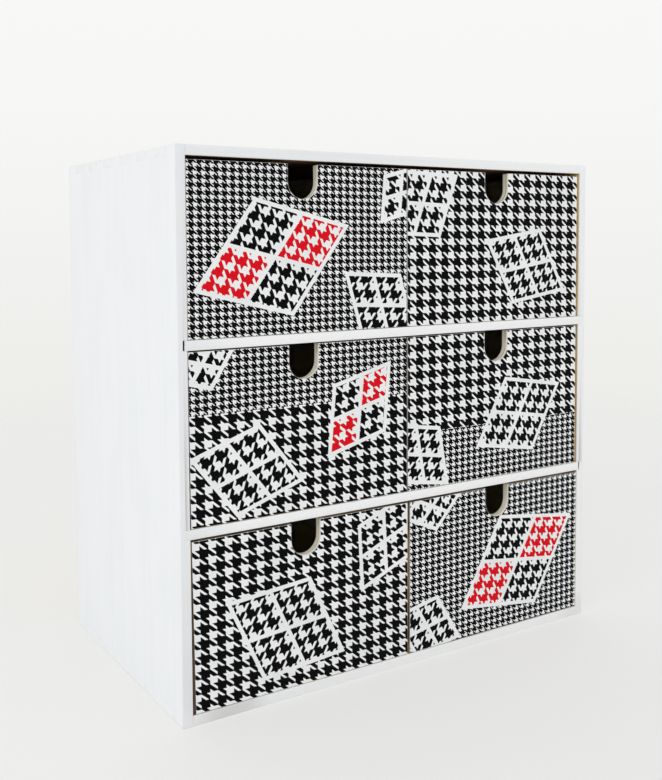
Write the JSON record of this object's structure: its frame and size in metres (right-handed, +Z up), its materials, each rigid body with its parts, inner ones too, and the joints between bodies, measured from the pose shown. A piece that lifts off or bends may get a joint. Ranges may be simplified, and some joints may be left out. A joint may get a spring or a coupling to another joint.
{
  "type": "mini chest of drawers",
  "caption": "Tabletop chest of small loose drawers in a box-jointed plywood case, each drawer pulled out by a finger slot in its printed front.",
  "frame": {"origin": "middle of the case's footprint, on the surface that it stands on", "axes": "+Z up; +Y from the open front to the back panel; +X to the right when the front is looked at"},
  "size_m": [0.31, 0.18, 0.32],
  "materials": {
    "white_paint": "brushed matt white paint over birch plywood",
    "birch_plywood": "bare sanded birch plywood with layered edges",
    "printed_paper": "satin printed paper pasted on",
    "pin_steel": "bright wire"
  },
  "bodies": {
    "case": {"left_side": "white_paint", "right_side": "white_paint", "top_board": "white_paint", "bottom_board": "white_paint", "upper_shelf": "white_paint", "lower_shelf": "white_paint", "back_panel": "birch_plywood", "back_panel_pins": "pin_steel"},
    "top_left_drawer": {"top_left_drawer_front": "birch_plywood", "top_left_drawer_back": "birch_plywood", "top_left_drawer_left_side": "birch_plywood", "top_left_drawer_right_side": "birch_plywood", "top_left_drawer_floor": "birch_plywood", "top_left_drawer_paper": "printed_paper"},
    "top_right_drawer": {"top_right_drawer_front": "birch_plywood", "top_right_drawer_back": "birch_plywood", "top_right_drawer_left_side": "birch_plywood", "top_right_drawer_right_side": "birch_plywood", "top_right_drawer_floor": "birch_plywood", "top_right_drawer_paper": "printed_paper"},
    "middle_left_drawer": {"middle_left_drawer_front": "birch_plywood", "middle_left_drawer_back": "birch_plywood", "middle_left_drawer_left_side": "birch_plywood", "middle_left_drawer_right_side": "birch_plywood", "middle_left_drawer_floor": "birch_plywood", "middle_left_drawer_paper": "printed_paper"},
    "middle_right_drawer": {"middle_right_drawer_front": "birch_plywood", "middle_right_drawer_back": "birch_plywood", "middle_right_drawer_left_side": "birch_plywood", "middle_right_drawer_right_side": "birch_plywood", "middle_right_drawer_floor": "birch_plywood", "middle_right_drawer_paper": "printed_paper"},
    "bottom_left_drawer": {"bottom_left_drawer_front": "birch_plywood", "bottom_left_drawer_back": "birch_plywood", "bottom_left_drawer_left_side": "birch_plywood", "bottom_left_drawer_right_side": "birch_plywood", "bottom_left_drawer_floor": "birch_plywood", "bottom_left_drawer_paper": "printed_paper"},
    "bottom_right_drawer": {"bottom_right_drawer_front": "birch_plywood", "bottom_right_drawer_back": "birch_plywood", "bottom_right_drawer_left_side": "birch_plywood", "bottom_right_drawer_right_side": "birch_plywood", "bottom_right_drawer_floor": "birch_plywood", "bottom_right_drawer_paper": "printed_paper"}
  },
  "joints": [
    {"name": "top_left_drawer_slide", "type": "slide", "parent": "case", "child": "top_left_drawer", "axis": [0, -1, 0], "range_m": [0, 0.15]},
    {"name": "top_right_drawer_slide", "type": "slide", "parent": "case", "child": "top_right_drawer", "axis": [0, -1, 0], "range_m": [0, 0.15]},
    {"name": "middle_left_drawer_slide", "type": "slide", "parent": "case", "child": "middle_left_drawer", "axis": [0, -1, 0], "range_m": [0, 0.15]},
    {"name": "middle_right_drawer_slide", "type": "slide", "parent": "case", "child": "middle_right_drawer", "axis": [0, -1, 0], "range_m": [0, 0.15]},
    {"name": "bottom_left_drawer_slide", "type": "slide", "parent": "case", "child": "bottom_left_drawer", "axis": [0, -1, 0], "range_m": [0, 0.15]},
    {"name": "bottom_right_drawer_slide", "type": "slide", "parent": "case", "child": "bottom_right_drawer", "axis": [0, -1, 0], "range_m": [0, 0.15]}
  ]
}
